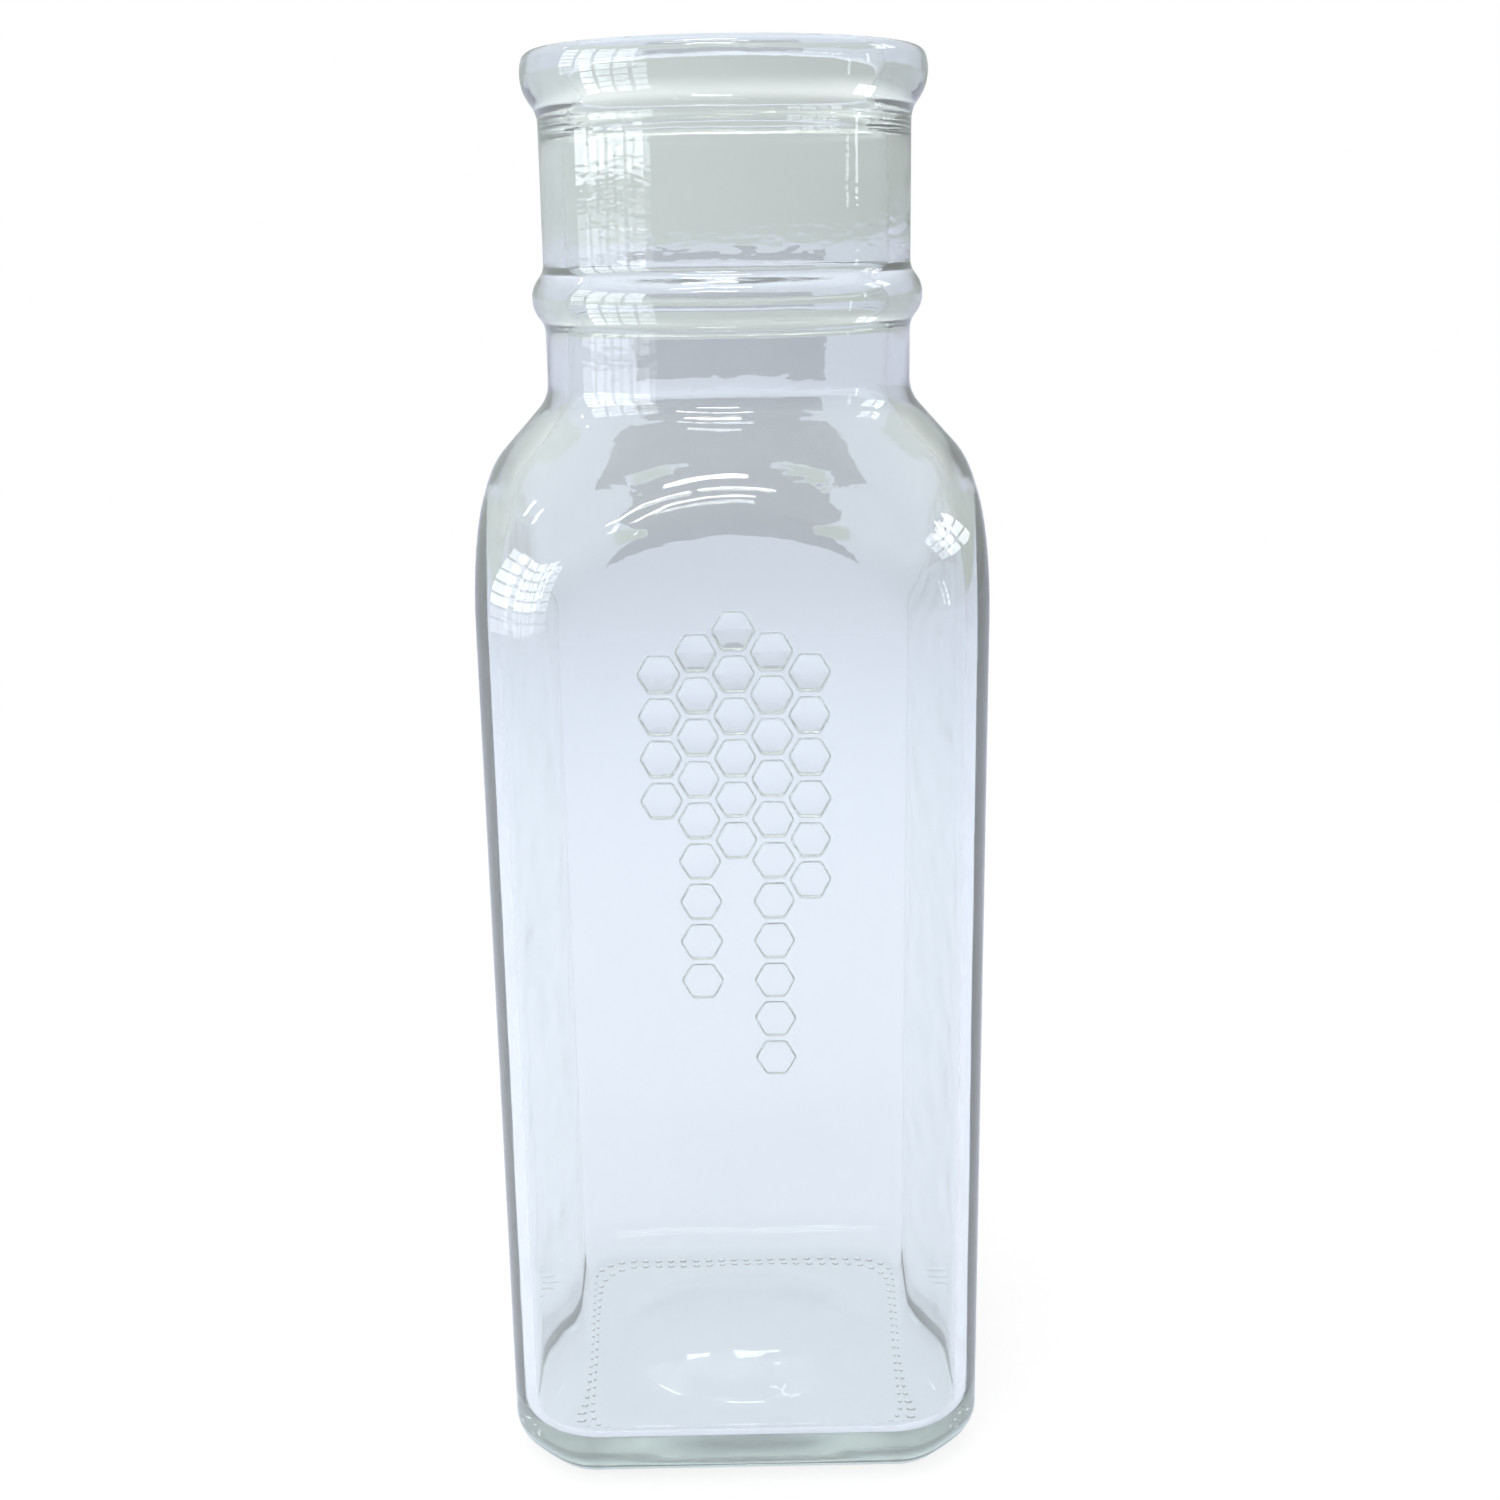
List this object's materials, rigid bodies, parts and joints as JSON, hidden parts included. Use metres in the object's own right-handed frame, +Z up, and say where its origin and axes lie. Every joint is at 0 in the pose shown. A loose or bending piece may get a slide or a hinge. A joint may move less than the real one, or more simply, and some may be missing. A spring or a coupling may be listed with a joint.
{
  "type": "square glass jar",
  "caption": "Square clear-glass jar for honey or other liquids: flat sides with arched tops, raised comb on the back, domed shoulder, wide round neck with a bead, rolled lip and cork mouth.",
  "frame": {"origin": "centre of the base, on the plane of the bearing band that the jar stands on", "axes": "+Z up along the neck; X and Y square to the flat sides, with the relief panel facing +Y"},
  "size_m": [0.057, 0.0575, 0.1654],
  "materials": {
    "glass": "clear glass with a faint green-grey tint, fire-polished, slightly wavy inside"
  },
  "bodies": {
    "root": {"bottle": "glass"}
  },
  "joints": []
}
